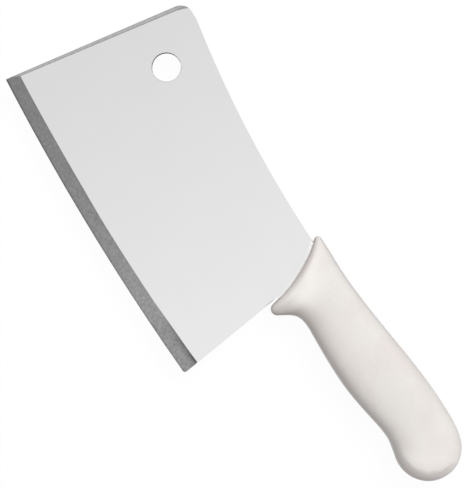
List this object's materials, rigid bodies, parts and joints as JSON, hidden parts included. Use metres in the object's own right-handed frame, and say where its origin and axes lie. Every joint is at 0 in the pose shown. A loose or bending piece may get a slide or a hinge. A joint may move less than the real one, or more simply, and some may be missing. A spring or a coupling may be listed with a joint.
{
  "type": "butcher's cleaver",
  "caption": "Heavy kitchen cleaver with a tall ground blade, a hanging hole near the toe corner and a moulded plastic grip with a flared guard.",
  "frame": {"origin": "centre of the bounding box on the surface under the grip, with the cleaver lying flat", "axes": "+X along the cutting edge from the toe to the grip's butt, +Y from the cutting edge to the spine, +Z square to the blade's faces and along the axis of the hanging hole"},
  "size_m": [0.293, 0.1091, 0.025],
  "materials": {
    "blade_steel": "fine satin ground stainless steel, with a coarser, darker ground bevel",
    "grip_plastic": "off-white moulded plastic with a fine matt texture"
  },
  "bodies": {
    "root": {"blade": "blade_steel", "handle": "grip_plastic"}
  },
  "joints": []
}
